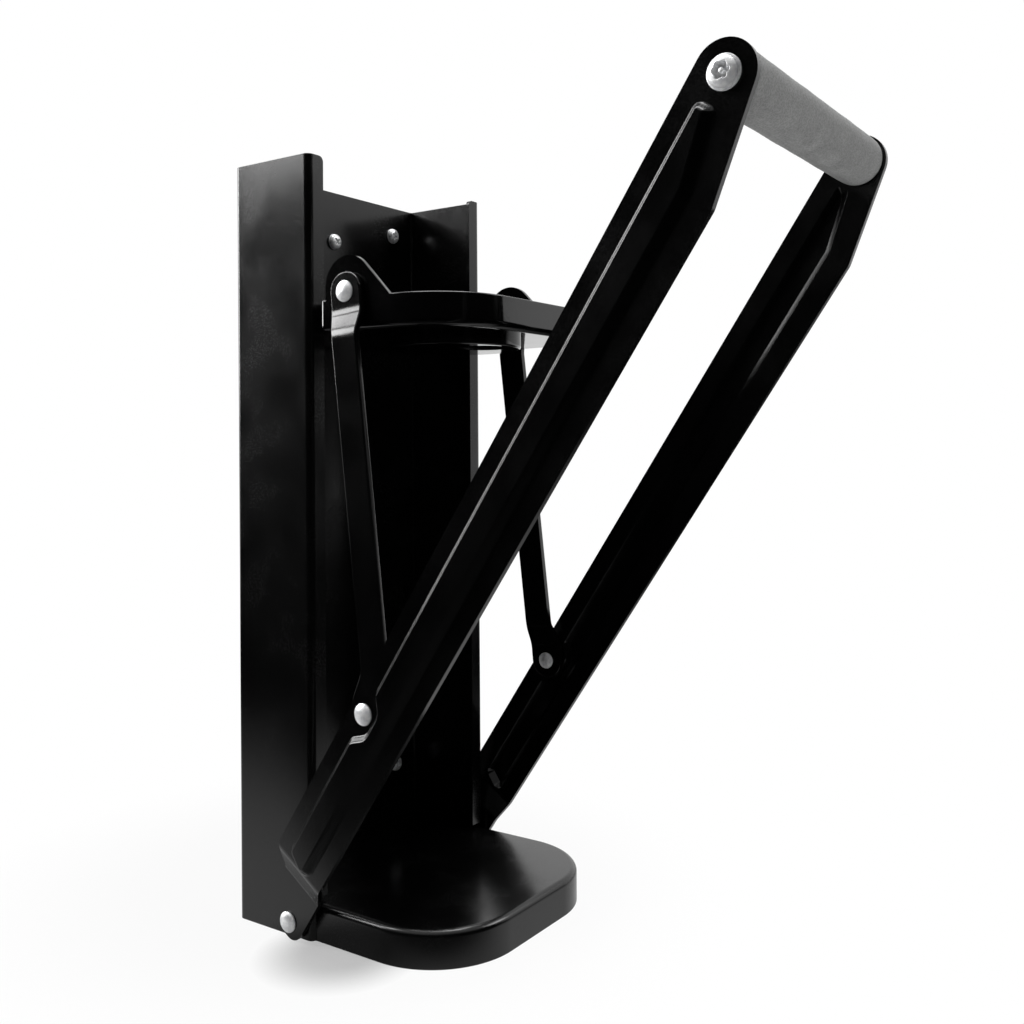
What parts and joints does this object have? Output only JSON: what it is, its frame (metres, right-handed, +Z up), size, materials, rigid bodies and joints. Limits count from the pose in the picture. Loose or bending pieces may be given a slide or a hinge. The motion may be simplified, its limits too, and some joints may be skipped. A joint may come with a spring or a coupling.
{
  "type": "lever can crusher",
  "caption": "Wall-mounted can crusher: a long two-arm lever pulls a pressed steel ram down a folded channel onto a can standing on a rounded base.",
  "frame": {"origin": "middle of the four corner wall screws, on the back face of the frame channel, where it meets the wall", "axes": "+X to the right of someone who faces the wall, +Y into the wall, +Z up along the channel"},
  "size_m": [0.1488, 0.2682, 0.3446],
  "materials": {
    "frame_coat": "semi-gloss black powder coat with a fine grain",
    "arm_coat": "semi-gloss black powder coat with a fine grain",
    "link_coat": "semi-gloss black powder coat",
    "ram_coat": "smooth glossy black coat",
    "foam": "matte closed-cell foam",
    "zinc": "bright zinc plate",
    "screw_steel": "zinc-plated screw steel",
    "dark_plastic": "matte black nylon"
  },
  "bodies": {
    "root": {"frame_channel": "frame_coat", "base_cap": "frame_coat", "base_rivets": "zinc", "wall_screws_top": "screw_steel", "wall_screws_bottom": "screw_steel", "pivot_rivet_left": "zinc", "pivot_rivet_right": "zinc", "pivot_washer_left": "dark_plastic", "pivot_washer_right": "dark_plastic"},
    "handle": {"arm_left": "arm_coat", "arm_right": "arm_coat", "grip_sleeve": "foam", "grip_tube": "zinc", "grip_bolt_left": "zinc", "grip_bolt_right": "zinc", "grip_washer_left": "dark_plastic", "grip_washer_right": "dark_plastic", "link_rivet_left": "zinc", "link_rivet_right": "zinc"},
    "link_left": {"link_left": "link_coat", "ear_rivet_left": "zinc"},
    "link_right": {"link_right": "link_coat", "ear_rivet_right": "zinc"},
    "ram": {"ram_plate": "ram_coat", "guide_shoe_left": "dark_plastic", "guide_shoe_right": "dark_plastic", "guide_rivets": "zinc", "ear_rivet_tail_left": "zinc", "ear_rivet_tail_right": "zinc"}
  },
  "joints": [
    {"name": "arm_swing", "type": "hinge", "parent": "root", "child": "handle", "pos_m": [0, -0.0353, -0.1775], "axis": [1, 0, 0], "range_deg": [0, 130]},
    {"name": "ram_slide", "type": "slide", "parent": "root", "child": "ram", "axis": [0, 0, -1], "range_m": [0, 0.19724]},
    {"name": "link_left_turn", "type": "hinge", "parent": "handle", "child": "link_left", "pos_m": [-0.0665, -0.08453, -0.08012], "axis": [1, 0, 0], "range_deg": [-127.94, 0]},
    {"name": "link_right_turn", "type": "hinge", "parent": "handle", "child": "link_right", "pos_m": [0.0665, -0.08453, -0.08012], "axis": [1, 0, 0], "range_deg": [-127.94, 0]}
  ],
  "couplings": [
    {"joint": "ram_slide", "follows": "arm_swing", "m_per_rad": 0.086928},
    {"joint": "link_left_turn", "follows": "arm_swing", "ratio": -0.98406},
    {"joint": "link_right_turn", "follows": "arm_swing", "ratio": -0.98406}
  ]
}
